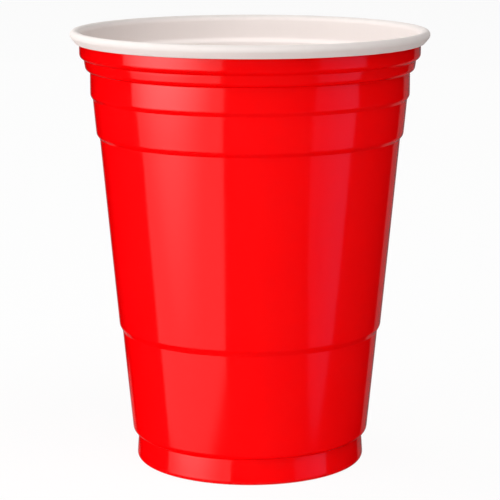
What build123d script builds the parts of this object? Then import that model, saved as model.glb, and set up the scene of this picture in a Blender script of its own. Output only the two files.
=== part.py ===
"""Plastic drinking cup with stacking rings and a rolled lip, made from one sheet.

The middle line of the sheet is drawn once: from the middle of the base, round
the foot, up the stepped wall and over into the rolled lip. The line is traced
at the sheet's thickness, and that section is turned about the cup's axis.
The stacking rings repeat, so their corners are left sharp here.
Millimetres, +Z up, the foot stands on Z = 0.
"""
import os
from math import cos, radians, sin, tan

from build123d import *

# The whole cup, over everything
rim_diameter = 95.0
cup_height = 116.15
sheet = 0.35

# Rolled lip: the bend over its crown, the skirt that slants back in, the tucked edge
lip_height = 3.40
lip_overhang = 2.45
lip_bend = 1.00
lip_edge_bend = 0.40
skirt_angle = 39.0

# Collar under the lip, from the rim's top down to its ledge
collar_height = 6.75
collar_ledge_width = 1.15
collar_ledge_drop = 0.80

# Narrow band below the collar
band_height = 2.60
band_draft = 8.0
band_ledge_width = 1.25
band_ledge_drop = 0.55

# Upright grip ring
grip_height = 6.35
grip_ledge_width = 0.65
grip_ledge_drop = 1.05

# Upper wall
upper_wall_height = 9.30
upper_ledge_width = 0.85
upper_ledge_drop = 1.05

# Long wall, which fills what the others leave of the height
wall_draft = 5.3
long_ledge_width = 0.80
long_ledge_drop = 1.55

# Lower wall
lower_wall_height = 27.55
lower_wall_draft = 5.5
lower_ledge_width = 1.50
lower_ledge_drop = 0.95

# Foot, and the bend it stands on
foot_height = 7.05
foot_flare = 4.1
foot_bend = 1.00

# Recessed base inside the foot ring, with a stiffening step round its middle panel
foot_ring_width = 3.40
recess_height = 3.40
recess_draft = 10.0
panel_margin = 8.10
panel_step = 0.50

# Each wall hangs from the ledge above it
half_sheet = sheet / 2
rim_radius = rim_diameter / 2
collar_radius = rim_radius - half_sheet - lip_overhang
long_wall_height = (
    cup_height
    - (collar_height + collar_ledge_drop)
    - (band_height + band_ledge_drop)
    - (grip_height + grip_ledge_drop)
    - (upper_wall_height + upper_ledge_drop)
    - long_ledge_drop
    - (lower_wall_height + lower_ledge_drop)
    - foot_height
)
walls = [
    (collar_height, 0, collar_ledge_width, collar_ledge_drop),
    (band_height, band_draft, band_ledge_width, band_ledge_drop),
    (grip_height, 0, grip_ledge_width, grip_ledge_drop),
    (upper_wall_height, wall_draft, upper_ledge_width, upper_ledge_drop),
    (long_wall_height, wall_draft, long_ledge_width, long_ledge_drop),
    (lower_wall_height, lower_wall_draft, lower_ledge_width, lower_ledge_drop),
]

# The inner bend of the lip takes what the outer bend leaves of its width
inner_bend = lip_overhang - lip_bend
lip_foot = cup_height - half_sheet - inner_bend
wall_corners = [(collar_radius, lip_foot)]
radius = collar_radius
level = cup_height
for height, draft, ledge_width, ledge_drop in walls:
    radius -= height * tan(radians(draft))
    level -= height
    wall_corners.append((radius, level))
    radius -= ledge_width
    level -= ledge_drop
    wall_corners.append((radius, level))

# From the middle of the base out to where the foot's bend begins
quarter_turn = 90.0
foot_turn = quarter_turn + foot_flare
foot_radius = radius + (foot_height - half_sheet) * tan(radians(foot_flare))
bend_radius = foot_radius - foot_bend * tan(radians(foot_turn) / 2)
ring_radius = foot_radius - foot_ring_width
recess_radius = ring_radius - (recess_height - half_sheet) * tan(radians(recess_draft))
panel_radius = recess_radius - panel_margin
panel_level = recess_height + panel_step
base_corners = [
    (0, panel_level),
    (panel_radius - panel_step, panel_level),
    (panel_radius, recess_height),
    (recess_radius, recess_height),
    (ring_radius, half_sheet),
    (bend_radius, half_sheet),
]

# The skirt reaches down to the height that the lip has
skirt_sine = sin(radians(skirt_angle))
skirt_fall = lip_height - sheet - lip_bend * (1 + skirt_sine) - lip_edge_bend * (1 - skirt_sine)
skirt_length = skirt_fall / cos(radians(skirt_angle))

with BuildPart() as cup:
    with BuildSketch(Plane.XZ):
        with BuildLine():
            base = Polyline(*base_corners)
            foot = JernArc(base @ 1, base % 1, foot_bend, foot_turn)
            wall = Polyline(foot @ 1, *reversed(wall_corners))
            crown = JernArc(wall @ 1, wall % 1, inner_bend, -quarter_turn)
            brow = JernArc(crown @ 1, crown % 1, lip_bend, -quarter_turn - skirt_angle)
            skirt = PolarLine(brow @ 1, skirt_length, direction=brow % 1)
            JernArc(skirt @ 1, skirt % 1, lip_edge_bend, skirt_angle - quarter_turn)
        trace(line_width=sheet)
    revolve(axis=Axis.Z)

cup.part.label = "cup"
os.makedirs("parts", exist_ok=True)
export_step(cup.part, "parts/cup.step")
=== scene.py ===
"""Looks of a thermoformed drinking cup: red outside, white inside, with a rolled lip.

The cup is one sheet of polystyrene, so it is drawn as one closed shell. The middle line of
the sheet is walked from the centre of the base, round the foot, up the stepped wall and over
into the lip, with every bend rounded. Both faces of the sheet lie half its thickness away
from that line, and the whole outline is turned about the cup's axis.

The cup's sizes are in millimetres until they reach a mesh, which is in metres, in the CAD
frame. The studio is in metres throughout.
"""
import logging
import math
from dataclasses import dataclass, replace
from enum import Enum

import bpy
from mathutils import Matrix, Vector


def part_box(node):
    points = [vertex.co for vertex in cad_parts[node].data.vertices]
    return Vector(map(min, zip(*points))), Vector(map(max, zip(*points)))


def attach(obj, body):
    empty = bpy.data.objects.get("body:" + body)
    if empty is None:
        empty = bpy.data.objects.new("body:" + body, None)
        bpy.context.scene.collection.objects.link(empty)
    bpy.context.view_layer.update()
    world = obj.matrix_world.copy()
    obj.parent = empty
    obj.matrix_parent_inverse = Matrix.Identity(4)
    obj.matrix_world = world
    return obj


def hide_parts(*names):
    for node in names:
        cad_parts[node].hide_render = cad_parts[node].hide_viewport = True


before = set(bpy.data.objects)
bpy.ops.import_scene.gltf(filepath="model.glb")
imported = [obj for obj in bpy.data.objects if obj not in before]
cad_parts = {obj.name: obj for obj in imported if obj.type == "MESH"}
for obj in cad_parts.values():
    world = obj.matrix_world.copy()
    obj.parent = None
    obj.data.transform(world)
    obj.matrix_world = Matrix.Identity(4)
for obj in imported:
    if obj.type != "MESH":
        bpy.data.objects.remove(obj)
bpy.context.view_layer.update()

LOG = logging.getLogger("cup")
MM = 0.001
QUARTER_TURN = math.pi / 2
WHITE = "#FFFFFF"
NODE = "cup"
BODY = "root"

Tree = bpy.types.NodeTree
Socket = bpy.types.NodeSocket


class Layer(Enum):
    """The two co-extruded layers of the sheet, numbered as material slots."""

    OUTSIDE = 0
    INSIDE = 1


class LampShape(Enum):
    """The outlines that a lamp can have, as Blender names them."""

    PANEL = "RECTANGLE"
    ROUND = "ELLIPSE"

    @property
    def filling(self) -> float:
        """Give the share of its width times its height that the outline fills."""
        return math.pi / 4 if self is LampShape.ROUND else 1.0


def linear(colour: str) -> tuple[float, float, float, float]:
    """Turn an sRGB hex colour into the linear colour that shaders use.

    Args:
        colour: Six hex digits after a hash sign.

    Returns:
        Red, green and blue from 0 to 1, and an alpha of 1.
    """
    parts = [int(colour[i:i + 2], 16) / 255 for i in (1, 3, 5)]
    # The numbers are those of the sRGB standard's own curve
    red, green, blue = (
        part / 12.92 if part <= 0.04045 else ((part + 0.055) / 1.055) ** 2.4 for part in parts
    )
    return red, green, blue, 1.0


def empty_tree(owner: bpy.types.ID) -> Tree:
    """Give a material, a light or a world a node tree of its own.

    Args:
        owner: The data that takes the tree.

    Returns:
        The tree, without the nodes that Blender puts there.
    """
    owner.use_nodes = True
    owner.node_tree.nodes.clear()
    return owner.node_tree


def add_node(
    tree: Tree,
    kind: str,
    inputs: dict[str | int, object] | None = None,
    **settings: object,
) -> bpy.types.Node:
    """Add a node, set its options, and set or link its inputs.

    Args:
        tree: The node tree that takes the node.
        kind: The node's type name in Blender.
        inputs: Values or output sockets for the inputs, by name or number.
        settings: The node's own options.

    Returns:
        The new node.
    """
    node = tree.nodes.new(kind)
    for name, value in settings.items():
        setattr(node, name, value)
    for key, value in (inputs or {}).items():
        if isinstance(value, Socket):
            tree.links.new(value, node.inputs[key])
        else:
            node.inputs[key].default_value = value
    return node


def add_object(name: str, data: bpy.types.ID) -> bpy.types.Object:
    """Put a mesh, a light or a camera into the scene.

    Args:
        name: The new object's name.
        data: What the object shows.

    Returns:
        The new object, at the origin.
    """
    thing = bpy.data.objects.new(name, data)
    bpy.context.scene.collection.objects.link(thing)
    return thing


@dataclass(frozen=True)
class FormedPolystyrene:
    """High-impact polystyrene sheet, co-extruded and vacuum-formed in a polished mould.

    The mould leaves a skin that is glossy but not a mirror. Pulling the sheet down into the
    mould leaves long faint streaks up the wall and slow ripples that soften a reflection's
    edge, and thins the layer here and there, so that its colour is a little cloudy. The edge
    that the cup stands on is scuffed dull.

    Real streaks are a few tenths of a millimetre wide. That is too fine to show in the
    render, so they are drawn as wide as streak_mm.
    """

    name: str
    colour: str
    thin_colour: str
    roughness: float
    scuffed_roughness: float
    ior: float = 1.59
    cloud_mm: float = 11.0
    cloud_detail: float = 3.0
    streak_mm: float = 1.4
    streak_detail: float = 2.0
    streak_stretch: float = 40.0
    streak_depth_mm: float = 0.002
    streak_roughness_share: float = 0.5
    ripple_mm: float = 16.0
    ripple_detail: float = 1.0
    ripple_depth_mm: float = 0.010
    scuff_height_mm: float = 1.2

    def layer_colour(self, tree: Tree, place: Socket) -> Socket:
        """Colour the layer, with clouds where it was pulled thinner.

        Args:
            tree: The material's node tree.
            place: The socket that gives the point on the piece.

        Returns:
            The socket that gives the colour.
        """
        clouds = add_node(
            tree,
            "ShaderNodeTexNoise",
            {"Vector": place, "Scale": 1 / (self.cloud_mm * MM), "Detail": self.cloud_detail},
        )
        colour = add_node(
            tree,
            "ShaderNodeMix",
            {
                "Factor": clouds.outputs["Fac"],
                "A": linear(self.colour),
                "B": linear(self.thin_colour),
            },
            data_type="RGBA",
        )
        return colour.outputs["Result"]

    def _blend(
        self, tree: Tree, base: Socket, colour: str, measure: Socket, span_mm: tuple[float, float]
    ) -> Socket:
        """Let the layer's colour turn into another along a measure of the cup.

        Args:
            tree: The material's node tree.
            base: The socket that gives the colour before the span.
            colour: The colour after the span.
            measure: The socket that gives the measure in metres, such as a height.
            span_mm: Where the change begins and where it is complete.

        Returns:
            The socket that gives the colour.
        """
        begins, ends = span_mm
        share = add_node(
            tree,
            "ShaderNodeMapRange",
            {"Value": measure, "From Min": begins * MM, "From Max": ends * MM},
        )
        blended = add_node(
            tree,
            "ShaderNodeMix",
            {"Factor": share.outputs["Result"], "A": base, "B": linear(colour)},
            data_type="RGBA",
        )
        return blended.outputs["Result"]

    def _streaks(self, tree: Tree, place: Socket) -> Socket:
        """Draw the streaks up the wall.

        Args:
            tree: The material's node tree.
            place: The socket that gives the point on the piece.

        Returns:
            The socket that gives the streaks, from 0 to 1.
        """
        drawn = add_node(
            tree,
            "ShaderNodeMapping",
            {"Vector": place, "Scale": (1.0, 1.0, 1 / self.streak_stretch)},
        )
        streaks = add_node(
            tree,
            "ShaderNodeTexNoise",
            {
                "Vector": drawn.outputs["Vector"],
                "Scale": 1 / (self.streak_mm * MM),
                "Detail": self.streak_detail,
            },
        )
        return streaks.outputs["Fac"]

    def _sheen(self, tree: Tree, place: Socket, streaks: Socket) -> Socket:
        """Roughen the skin along the streaks, and dull the scuffed edge of the foot.

        Args:
            tree: The material's node tree.
            place: The socket that gives the point on the piece.
            streaks: The socket that gives the streaks.

        Returns:
            The socket that gives the roughness.
        """
        height = add_node(tree, "ShaderNodeSeparateXYZ", {"Vector": place}).outputs["Z"]
        scuffs = add_node(
            tree,
            "ShaderNodeMapRange",
            {
                "Value": height,
                "From Min": 0.0,
                "From Max": self.scuff_height_mm * MM,
                "To Min": self.scuffed_roughness,
                "To Max": self.roughness,
            },
        )
        sheen = add_node(
            tree,
            "ShaderNodeMath",
            {
                0: streaks,
                1: self.roughness * self.streak_roughness_share,
                2: scuffs.outputs["Result"],
            },
            operation="MULTIPLY_ADD",
        )
        return sheen.outputs["Value"]

    def _relief(self, tree: Tree, place: Socket, streaks: Socket) -> Socket:
        """Raise the ripples and the streaks.

        Args:
            tree: The material's node tree.
            place: The socket that gives the point on the piece.
            streaks: The socket that gives the streaks.

        Returns:
            The socket that gives the normal.
        """
        ripples = add_node(
            tree,
            "ShaderNodeTexNoise",
            {"Vector": place, "Scale": 1 / (self.ripple_mm * MM), "Detail": self.ripple_detail},
        )
        rippled = add_node(
            tree,
            "ShaderNodeBump",
            {"Height": ripples.outputs["Fac"], "Distance": self.ripple_depth_mm * MM},
        )
        streaked = add_node(
            tree,
            "ShaderNodeBump",
            {
                "Height": streaks,
                "Distance": self.streak_depth_mm * MM,
                "Normal": rippled.outputs["Normal"],
            },
        )
        return streaked.outputs["Normal"]

    def material(self) -> bpy.types.Material:
        """Build the material.

        Returns:
            A node material that reads the piece's own coordinates, in metres.
        """
        material = bpy.data.materials.new(self.name)
        tree = empty_tree(material)
        place = add_node(tree, "ShaderNodeTexCoord").outputs["Object"]
        streaks = self._streaks(tree, place)
        skin = add_node(
            tree,
            "ShaderNodeBsdfPrincipled",
            {
                "Base Color": self.layer_colour(tree, place),
                "Roughness": self._sheen(tree, place, streaks),
                "IOR": self.ior,
                "Normal": self._relief(tree, place, streaks),
            },
        )
        add_node(tree, "ShaderNodeOutputMaterial", {"Surface": skin.outputs["BSDF"]})
        return material


@dataclass(frozen=True)
class RimShadedPolystyrene(FormedPolystyrene):
    """The red layer of the sheet, with painted shade that darkens its red towards the rim.

    The deeper red over the collar and grip stands in for the shadow that the lip casts there.
    """

    # Painted shade: near the rim the red turns to this deeper colour, in place of the lip's shadow
    rim_painted_shade: str = "#EE0002"
    rim_level_mm: float = 116.0
    rim_shade_reach_mm: float = 21.0

    def layer_colour(self, tree: Tree, place: Socket) -> Socket:
        """Colour the layer, and darken it towards the rim with painted shade.

        Args:
            tree: The material's node tree.
            place: The socket that gives the point on the piece.

        Returns:
            The socket that gives the colour.
        """
        base = super().layer_colour(tree, place)
        height = add_node(tree, "ShaderNodeSeparateXYZ", {"Vector": place}).outputs["Z"]
        span = (self.rim_level_mm - self.rim_shade_reach_mm, self.rim_level_mm)
        # Painted shade: the red darkens up the wall towards the rim
        return self._blend(tree, base, self.rim_painted_shade, height, span)


@dataclass(frozen=True)
class LipShadedPolystyrene(FormedPolystyrene):
    """The white layer of the sheet, which faces away from the mould and so stays satin.

    Its lip is curled over by hot rollers. The lip is a little greyer than the rest: painted shade
    that dims it against the inside of the cup.
    """

    # Painted shade: a greyer colour that dims the lip against the inside
    lip_painted_shade: str = "#DFD7D3"
    lip_shade_from_mm: float = 45.0
    lip_shade_blend_mm: float = 0.6

    def layer_colour(self, tree: Tree, place: Socket) -> Socket:
        """Colour the layer, and grey it with painted shade outside the radius where the lip
        begins.

        Args:
            tree: The material's node tree.
            place: The socket that gives the point on the piece.

        Returns:
            The socket that gives the colour.
        """
        base = super().layer_colour(tree, place)
        level = add_node(tree, "ShaderNodeMapping", {"Vector": place, "Scale": (1.0, 1.0, 0.0)})
        radius = add_node(
            tree, "ShaderNodeVectorMath", {0: level.outputs["Vector"]}, operation="LENGTH"
        )
        span = (self.lip_shade_from_mm, self.lip_shade_from_mm + self.lip_shade_blend_mm)
        # Painted shade: the lip's outer part takes the greyer colour
        return self._blend(tree, base, self.lip_painted_shade, radius.outputs["Value"], span)


@dataclass(frozen=True)
class Station:
    """A point of the sheet's section, and the way that the sheet faces there, in radians."""

    radius: float
    level: float
    facing: float

    def beside(self, offset: float, turn: float = 0.0) -> "Station":
        """Find a point next to this one.

        Args:
            offset: How far away the point lies.
            turn: The angle from where this one faces, in radians.

        Returns:
            The point, which faces away from this one.
        """
        way = self.facing + turn
        radius = self.radius + offset * math.cos(way)
        level = self.level + offset * math.sin(way)
        return Station(radius, level, way)


class SheetLine:
    """The sheet's middle line, walked in straight runs and round bends.

    RUN_STEP is in millimetres and BEND_STEP in radians. A run is a wall where the sine of its
    slope is over STEEP.
    """

    RUN_STEP = 1.5
    BEND_STEP = math.radians(9)
    FEWEST_BEND_STEPS = 2
    STEEP = math.sin(math.radians(60))

    def __init__(self, start: tuple[float, float], heading: float) -> None:
        """Start the walk.

        Args:
            start: Radius and level of the first point.
            heading: Direction of the first run, in radians up from outward.
        """
        self.radius, self.level = start
        self.heading = heading
        self.stations: list[Station] = []
        self._mark()

    def _mark(self, lift: float = 0.0, tilt: float = 0.0) -> None:
        """Note the present point. The sheet's outside is on the right of the walk.

        Args:
            lift: How far the sheet stands out from the walk here.
            tilt: How far the sheet's outside turns back from square to the walk.
        """
        facing = self.heading - QUARTER_TURN
        station = Station(self.radius, self.level, facing).beside(lift)
        self.stations.append(replace(station, facing=facing - tilt))

    def go(self, length: float, bow: float = 0.0) -> None:
        """Walk straight on for a length, in even steps.

        Args:
            length: How far to walk.
            bow: How far the sheet stands out from the straight, half-way along.
        """
        steps = max(1, math.ceil(length / self.RUN_STEP))
        for step in range(1, steps + 1):
            self.radius += length / steps * math.cos(self.heading)
            self.level += length / steps * math.sin(self.heading)
            along = step / steps
            # The bow is a parabola through both ends of the run
            self._mark(
                lift=4 * bow * along * (1 - along),
                tilt=math.atan(4 * bow / length * (1 - 2 * along)),
            )

    def bend(self, bend_radius: float, turn: float) -> None:
        """Walk round an arc.

        Args:
            bend_radius: Radius of the arc.
            turn: Change of heading in radians, positive to the left.
        """
        steps = max(self.FEWEST_BEND_STEPS, math.ceil(abs(turn) / self.BEND_STEP))
        side = math.copysign(QUARTER_TURN, turn)
        middle_radius = self.radius + bend_radius * math.cos(self.heading + side)
        middle_level = self.level + bend_radius * math.sin(self.heading + side)
        for _ in range(steps):
            self.heading += turn / steps
            self.radius = middle_radius - bend_radius * math.cos(self.heading + side)
            self.level = middle_level - bend_radius * math.sin(self.heading + side)
            self._mark()

    def follow(self, corners: list[tuple[float, float]], bends: list[float], bow: float) -> None:
        """Walk along a line of corners, each rounded by its bend, to the last corner.

        Args:
            corners: The corners ahead, as radius and level.
            bends: A bend radius for each corner but the last.
            bow: How far the sheet stands out half-way up each wall.
        """
        for corner, bend_radius, after in zip(corners, bends, corners[1:]):
            onward = math.atan2(after[1] - corner[1], after[0] - corner[0])
            turn = math.remainder(onward - self.heading, math.tau)
            tangent = bend_radius * math.tan(abs(turn) / 2)
            run = math.dist((self.radius, self.level), corner) - tangent
            is_wall = run > self.RUN_STEP and math.sin(self.heading) > self.STEEP
            self.go(run, bow if is_wall else 0.0)
            self.bend(bend_radius, turn)
        self.go(math.dist((self.radius, self.level), corners[-1]), bow)


@dataclass(frozen=True)
class Ring:
    """One wall of the cup with the ledge under it, where the next cup of a stack rests.

    Lengths are in millimetres. The draft is the wall's lean from upright, in degrees.
    """

    height: float
    draft: float
    ledge_width: float
    ledge_drop: float
    bend: float


@dataclass(frozen=True)
class CupShell:
    """The cup's sheet: base, foot, stepped wall and rolled lip in one piece.

    Lengths are in millimetres and angles in degrees.
    """

    rim_diameter: float
    cup_height: float
    sheet: float = 0.35

    # Rolled lip: the bend over its crown, the tucked edge and the skirt that slants back in
    lip_height: float = 3.40
    lip_overhang: float = 2.45
    lip_bend: float = 1.00
    lip_edge_bend: float = 0.40
    skirt_angle: float = 39.0

    # Walls from the rim down. The long wall's height is what the others leave, see rings
    collar: Ring = Ring(height=6.75, draft=0.0, ledge_width=1.15, ledge_drop=0.80, bend=1.10)
    band: Ring = Ring(height=2.60, draft=8.0, ledge_width=1.25, ledge_drop=0.55, bend=1.10)
    grip: Ring = Ring(height=6.35, draft=0.0, ledge_width=0.65, ledge_drop=1.05, bend=1.10)
    upper_wall: Ring = Ring(height=9.30, draft=5.3, ledge_width=0.85, ledge_drop=1.05, bend=1.35)
    long_wall: Ring = Ring(height=0.0, draft=5.3, ledge_width=0.80, ledge_drop=1.55, bend=1.35)
    lower_wall: Ring = Ring(height=27.55, draft=5.5, ledge_width=1.50, ledge_drop=0.95, bend=1.35)
    crease_bend: float = 0.45
    wall_bow: float = 0.02

    # Foot, and the recessed base with a stiffening step round its middle panel
    foot_height: float = 7.05
    foot_flare: float = 4.1
    foot_bend: float = 1.00
    foot_ring_width: float = 3.40
    recess_height: float = 3.40
    recess_draft: float = 10.0
    recess_bend: float = 0.90
    panel_margin: float = 8.10
    panel_step: float = 0.50
    panel_bend: float = 0.50

    # How finely the shell is divided, round the axis and round the sheet's cut edge
    segments: int = 160
    tip_steps: int = 6

    @property
    def half_sheet(self) -> float:
        """Give the distance from the middle line to each face of the sheet."""
        return self.sheet / 2

    @property
    def inner_bend(self) -> float:
        """Give the lip's inner bend, which takes what the outer bend leaves of the overhang."""
        return self.lip_overhang - self.lip_bend

    @property
    def panel_level(self) -> float:
        """Give the level of the base's middle panel."""
        return self.recess_height + self.panel_step

    def rings(self) -> list[Ring]:
        """List the walls, with the long wall as high as the other walls and the foot leave.

        Returns:
            The walls with their ledges, from the rim down.
        """
        above = [self.collar, self.band, self.grip, self.upper_wall]
        taken = sum(ring.height + ring.ledge_drop for ring in (*above, self.lower_wall))
        height = self.cup_height - taken - self.long_wall.ledge_drop - self.foot_height
        return [*above, replace(self.long_wall, height=height), self.lower_wall]

    def corners(self) -> tuple[list[tuple[float, float]], list[float]]:
        """Find the corners of the middle line from the base up to the lip.

        Returns:
            The corners as radius and level, and a bend for each but the last.
        """
        half = self.half_sheet
        radius = self.rim_diameter / 2 - half - self.lip_overhang
        level = self.cup_height
        corners = [(radius, self.cup_height - half - self.inner_bend)]
        bends = []
        for ring in self.rings():
            radius -= ring.height * math.tan(math.radians(ring.draft))
            level -= ring.height
            corners.append((radius, level))
            radius -= ring.ledge_width
            level -= ring.ledge_drop
            corners.append((radius, level))
            bends += [ring.bend, self.crease_bend]
        foot_radius = radius + (self.foot_height - half) * math.tan(math.radians(self.foot_flare))
        ring_radius = foot_radius - self.foot_ring_width
        slant = (self.recess_height - half) * math.tan(math.radians(self.recess_draft))
        recess_radius = ring_radius - slant
        panel_radius = recess_radius - self.panel_margin
        corners += [
            (foot_radius, half),
            (ring_radius, half),
            (recess_radius, self.recess_height),
            (panel_radius, self.recess_height),
            (panel_radius - self.panel_step, self.panel_level),
        ]
        bends += [self.foot_bend, self.recess_bend, self.recess_bend]
        bends += [self.panel_bend, self.panel_bend]
        return corners[::-1], bends[::-1]

    def middle_line(self) -> list[Station]:
        """Walk the middle line of the sheet.

        Returns:
            The points from the centre of the base to the tucked edge of the lip.
        """
        corners, bends = self.corners()
        line = SheetLine((0.0, self.panel_level), 0.0)
        line.follow(corners, bends, self.wall_bow)
        skirt = math.radians(self.skirt_angle)
        brow_fall = self.lip_bend * (1 + math.sin(skirt))
        edge_fall = self.lip_edge_bend * (1 - math.sin(skirt))
        skirt_fall = self.lip_height - self.sheet - brow_fall - edge_fall
        line.bend(self.inner_bend, -QUARTER_TURN)
        line.bend(self.lip_bend, -QUARTER_TURN - skirt)
        line.go(skirt_fall / math.cos(skirt))
        line.bend(self.lip_edge_bend, skirt - QUARTER_TURN)
        return line.stations

    def outline(self) -> list[tuple[Station, Layer]]:
        """Lay out the closed section of the sheet.

        Returns:
            Each point with its layer, along the outside to the lip's edge, round the edge,
            and back along the inside to the axis.
        """
        half = self.half_sheet
        line = self.middle_line()
        turns = [math.pi * step / self.tip_steps for step in range(1, self.tip_steps)]
        outside = [(station.beside(half), Layer.OUTSIDE) for station in line]
        edge = [(line[-1].beside(half, turn), Layer.INSIDE) for turn in turns]
        inside = [(station.beside(half, math.pi), Layer.INSIDE) for station in reversed(line)]
        return outside + edge + inside

    def build(self) -> bpy.types.Object:
        """Turn the outline about the axis.

        Returns:
            The shell as a mesh object, with each layer's faces in its own material slot.
        """
        places: list[tuple[float, float, float]] = []
        facings: list[tuple[float, float, float]] = []
        rows: list[range] = []
        outline = self.outline()
        for point, _ in outline:
            on_axis = point.radius < self.half_sheet
            reach, outward = (0.0, 0.0) if on_axis else (MM * point.radius, math.cos(point.facing))
            count = 1 if on_axis else self.segments
            rows.append(range(len(places), len(places) + count))
            for segment in range(count):
                turn = math.tau * segment / self.segments
                across, along = math.cos(turn), math.sin(turn)
                places.append((reach * across, reach * along, MM * point.level))
                facings.append((outward * across, outward * along, math.sin(point.facing)))
        faces: list[list[int]] = []
        layers: list[int] = []
        for row, after, (_, layer) in zip(rows, rows[1:], outline[1:]):
            for segment in range(self.segments):
                beside = (segment + 1) % self.segments
                corners = [row[segment % len(row)], row[beside % len(row)]]
                corners += [after[beside % len(after)], after[segment % len(after)]]
                # A row on the axis is one point, so the faces that meet there are triangles
                faces.append(list(dict.fromkeys(corners)))
                layers.append(layer.value)
        mesh = bpy.data.meshes.new("cup_shell")
        mesh.from_pydata(places, [], faces)
        mesh.polygons.foreach_set("material_index", layers)
        mesh.shade_smooth()
        mesh.normals_split_custom_set_from_vertices(facings)
        mesh.update()
        return add_object("cup_shell", mesh)

    def dress(self, shell: bpy.types.Object) -> None:
        """Give each layer of the sheet its finish, in the order of the material slots.

        Args:
            shell: The cup's mesh object.
        """
        finishes = {
            # The mould's gloss: a lamp shows as a clear band with slightly soft ends
            Layer.OUTSIDE: RimShadedPolystyrene(
                name="polystyrene_red_formed",
                colour="#FF0002",
                thin_colour="#FA0005",
                roughness=0.08,
                scuffed_roughness=0.35,
                # The painted shade under the lip is deepest at this level
                rim_level_mm=self.cup_height,
            ),
            # The plain sheet's satin: a lamp shows as a wide gleam without an edge
            Layer.INSIDE: LipShadedPolystyrene(
                name="polystyrene_white_formed",
                colour="#F3EAE6",
                thin_colour="#F0E6E2",
                roughness=0.55,
                scuffed_roughness=0.60,
                # The painted shade on the lip begins at this radius
                lip_shade_from_mm=self.rim_diameter / 2 - self.lip_overhang - self.sheet,
            ),
        }
        for layer in Layer:
            shell.data.materials.append(finishes[layer].material())


@dataclass(frozen=True)
class Softbox:
    """A flat studio lamp, brightest at its core, that is seen only through what it lights.

    Angles are in degrees as the camera sees the cup: azimuth to the right of the camera's
    own line, elevation above the table. Lengths are in metres. The core lies that far to the
    right of the face's middle, seen from behind the lamp. At the distance of the fade from
    its core, the face has only the edge's share of the core's light. The aim is a height.
    """

    name: str
    azimuth: float
    elevation: float
    distance: float
    width: float
    height: float
    radiance: float
    shape: LampShape = LampShape.PANEL
    edge_share: float = 1.0
    fade: float = 1.0
    core: float = 0.0
    tint: str = WHITE
    aim: float = 0.06

    def build(self) -> None:
        """Hang the lamp so that it faces the cup's axis at the height of its aim."""
        light = bpy.data.lights.new(self.name, "AREA")
        light.shape = self.shape.value
        light.size = self.width
        light.size_y = self.height
        light.energy = self.radiance * math.pi * self.width * self.height * self.shape.filling
        light.color = linear(self.tint)[:3]
        turn = math.radians(self.azimuth)
        rise = math.radians(self.elevation)
        level = math.cos(rise)
        away = Vector((math.sin(turn) * level, -math.cos(turn) * level, math.sin(rise)))
        lamp = add_object(self.name, light)
        lamp.location = away * self.distance + Vector((0.0, 0.0, self.aim))
        lamp.rotation_mode = "QUATERNION"
        lamp.rotation_quaternion = (-away).to_track_quat("-Z", "Y")
        lamp.visible_camera = False
        aside = lamp.rotation_quaternion @ Vector((self.core, 0.0, 0.0))
        self._fade(light, lamp.location + aside)

    def _fade(self, light: bpy.types.Light, core: Vector) -> None:
        """Let the lamp's face grow dimmer away from its core.

        Args:
            light: The lamp's data.
            core: The brightest point of the lamp's face.
        """
        tree = empty_tree(light)
        place = add_node(tree, "ShaderNodeNewGeometry").outputs["Position"]
        reach = add_node(
            tree, "ShaderNodeVectorMath", {0: place, 1: core}, operation="DISTANCE"
        )
        share = add_node(
            tree,
            "ShaderNodeMapRange",
            {
                "Value": reach.outputs["Value"],
                "From Max": self.fade,
                "To Min": 1.0,
                "To Max": self.edge_share,
            },
            interpolation_type="SMOOTHSTEP",
        )
        face = add_node(tree, "ShaderNodeEmission", {"Strength": share.outputs["Result"]})
        add_node(tree, "ShaderNodeOutputLight", {"Surface": face.outputs["Emission"]})


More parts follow.
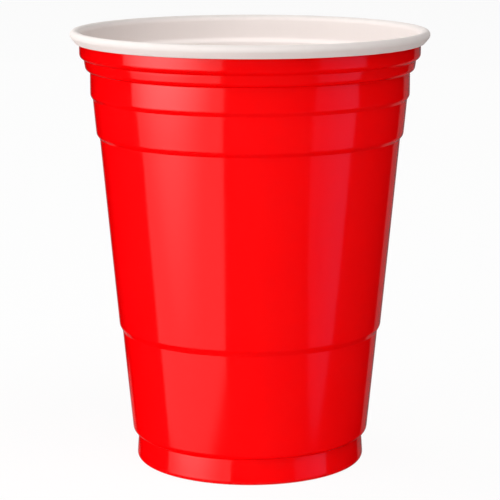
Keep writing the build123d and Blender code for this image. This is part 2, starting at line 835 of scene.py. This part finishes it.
@dataclass(frozen=True)
class Studio:
    """The white table, the white surroundings and the lamps, in metres.

    The key softbox, the reflector and the panels behind the cup reach below the table's
    level. There they show as mirror images alone, since the table keeps that light off the cup.
    """

    table_side: float = 16.0
    table_colour: str = "#F7F7F6"
    table_white: float = 0.93
    ambient: float = 0.03
    lamps: tuple[Softbox, ...] = (
        # The broad pale band on the left of the wall is this lamp's mirror image
        Softbox(
            "key_softbox", azimuth=-54.3, elevation=16.0, distance=0.90,
            width=1.43, height=1.82, radiance=3.3, edge_share=0.15, fade=0.80, core=-0.10,
        ),
        # These light the left edge, the front, and the inside and right. They hang too high for
        # the wall to mirror them to the camera
        Softbox(
            "left_softbox", azimuth=-125.0, elevation=35.0, distance=2.60,
            width=1.60, height=1.60, radiance=3.3,
        ),
        Softbox(
            "front_softbox", azimuth=-8.0, elevation=15.0, distance=2.60,
            width=2.80, height=1.00, radiance=1.6,
        ),
        Softbox(
            "fill_softbox", azimuth=40.0, elevation=59.0, distance=2.60,
            width=2.00, height=1.70, radiance=3.4,
        ),
        # A card that throws the cup's red back. Its image is the rosy stripe on the right
        Softbox(
            "side_reflector", azimuth=63.6, elevation=-9.0, distance=0.95,
            width=0.63, height=0.62, radiance=0.509, shape=LampShape.ROUND,
            edge_share=0.4, fade=0.50, core=0.20, tint="#FF9EDB",
        ),
        # Dim panels behind the cup, which lighten the wall's edges and the creases' ends
        Softbox(
            "back_panel", azimuth=170.0, elevation=0.0, distance=1.00,
            width=1.05, height=1.20, radiance=0.12,
        ),
        Softbox(
            "low_panel", azimuth=-163.0, elevation=-27.0, distance=1.00,
            width=0.40, height=0.32, radiance=0.13,
        ),
    )

    def viewed(self, tree: Tree) -> Socket:
        """Tell rays that see the background from those that light the cup.

        Args:
            tree: The node tree of the table or the world.

        Returns:
            A socket that is 1 for camera, glossy and transmission rays, and 0 for the rest.
        """
        path = add_node(tree, "ShaderNodeLightPath").outputs
        seen = path["Is Camera Ray"]
        for kind in ("Is Glossy Ray", "Is Transmission Ray"):
            either = add_node(
                tree, "ShaderNodeMath", {0: seen, 1: path[kind]}, operation="MAXIMUM"
            )
            seen = either.outputs["Value"]
        return seen

    def table_top(self) -> bpy.types.Material:
        """Make the table's surface: nearly plain white to the eye, and matt to the lamps.

        Returns:
            The table's material.
        """
        material = bpy.data.materials.new("matt_white_laminate")
        tree = empty_tree(material)
        share = add_node(
            tree,
            "ShaderNodeMath",
            {0: self.viewed(tree), 1: self.table_white},
            operation="MULTIPLY",
        )
        matt = add_node(tree, "ShaderNodeBsdfDiffuse", {"Color": linear(self.table_colour)})
        white = add_node(tree, "ShaderNodeEmission", {"Strength": 1.0})
        surface = add_node(
            tree,
            "ShaderNodeMixShader",
            {0: share.outputs["Value"], 1: matt.outputs["BSDF"], 2: white.outputs["Emission"]},
        )
        add_node(tree, "ShaderNodeOutputMaterial", {"Surface": surface.outputs["Shader"]})
        return material

    def table(self) -> bpy.types.Object:
        """Lay the white table, which keeps a faint shadow of the cup.

        Returns:
            The table as a mesh object.
        """
        half = self.table_side / 2
        corners = [(-half, -half, 0), (half, -half, 0), (half, half, 0), (-half, half, 0)]
        mesh = bpy.data.meshes.new("table")
        mesh.from_pydata(corners, [], [(0, 1, 2, 3)])
        mesh.materials.append(self.table_top())
        table = add_object("table", mesh)
        # The cup's red wall shows no table in it
        table.visible_glossy = False
        return table

    def surroundings(self) -> None:
        """Make the world white to the eye and dim to the cup, and dark below the table."""
        world = bpy.data.worlds.new("studio")
        tree = empty_tree(world)
        way = add_node(tree, "ShaderNodeTexCoord").outputs["Generated"]
        rise = add_node(tree, "ShaderNodeSeparateXYZ", {"Vector": way}).outputs["Z"]
        above = add_node(tree, "ShaderNodeMath", {0: rise, 1: 0.0}, operation="GREATER_THAN")
        level = add_node(
            tree,
            "ShaderNodeMapRange",
            {"Value": self.viewed(tree), "To Min": self.ambient, "To Max": 1.0},
        )
        strength = add_node(
            tree,
            "ShaderNodeMath",
            {0: above.outputs["Value"], 1: level.outputs["Result"]},
            operation="MULTIPLY",
        )
        sky = add_node(
            tree,
            "ShaderNodeBackground",
            {"Color": linear(WHITE), "Strength": strength.outputs["Value"]},
        )
        add_node(tree, "ShaderNodeOutputWorld", {"Surface": sky.outputs["Background"]})
        bpy.context.scene.world = world

    def build(self) -> None:
        """Set up the table, the surroundings and the lamps."""
        self.table()
        self.surroundings()
        for lamp in self.lamps:
            lamp.build()
            LOG.info("lamp %s", lamp.name)


@dataclass(frozen=True)
class PhotoCamera:
    """The camera at the photograph's distance, height, tilt and lens.

    Distance and height are in metres, the tilt is in degrees down from level, and the lens
    and the sensor are in millimetres.
    """

    distance: float = 0.558763
    height: float = 0.164986
    tilt: float = 10.970
    lens: float = 152.147
    sensor: float = 36.0

    def build(self) -> None:
        """Stand the camera in front of the cup and make it the scene's camera."""
        data = bpy.data.cameras.new("photo_camera")
        data.lens = self.lens
        data.sensor_width = self.sensor
        camera = add_object("photo_camera", data)
        camera.location = (0.0, -self.distance, self.height)
        camera.rotation_euler = (QUARTER_TURN - math.radians(self.tilt), 0.0, 0.0)
        bpy.context.scene.camera = camera


def main() -> None:
    """Build the cup and its studio, and report each piece."""
    logging.basicConfig(level=logging.INFO, format="%(message)s")
    bpy.context.scene.view_settings.view_transform = "Standard"
    low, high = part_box(NODE)
    cup = CupShell(rim_diameter=(high.x - low.x) / MM, cup_height=(high.z - low.z) / MM)
    shell = cup.build()
    cup.dress(shell)
    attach(shell, BODY)
    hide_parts(NODE)
    LOG.info("piece %s with %d faces", shell.name, len(shell.data.polygons))
    Studio().build()
    PhotoCamera().build()


if __name__ == "__main__":
    main()
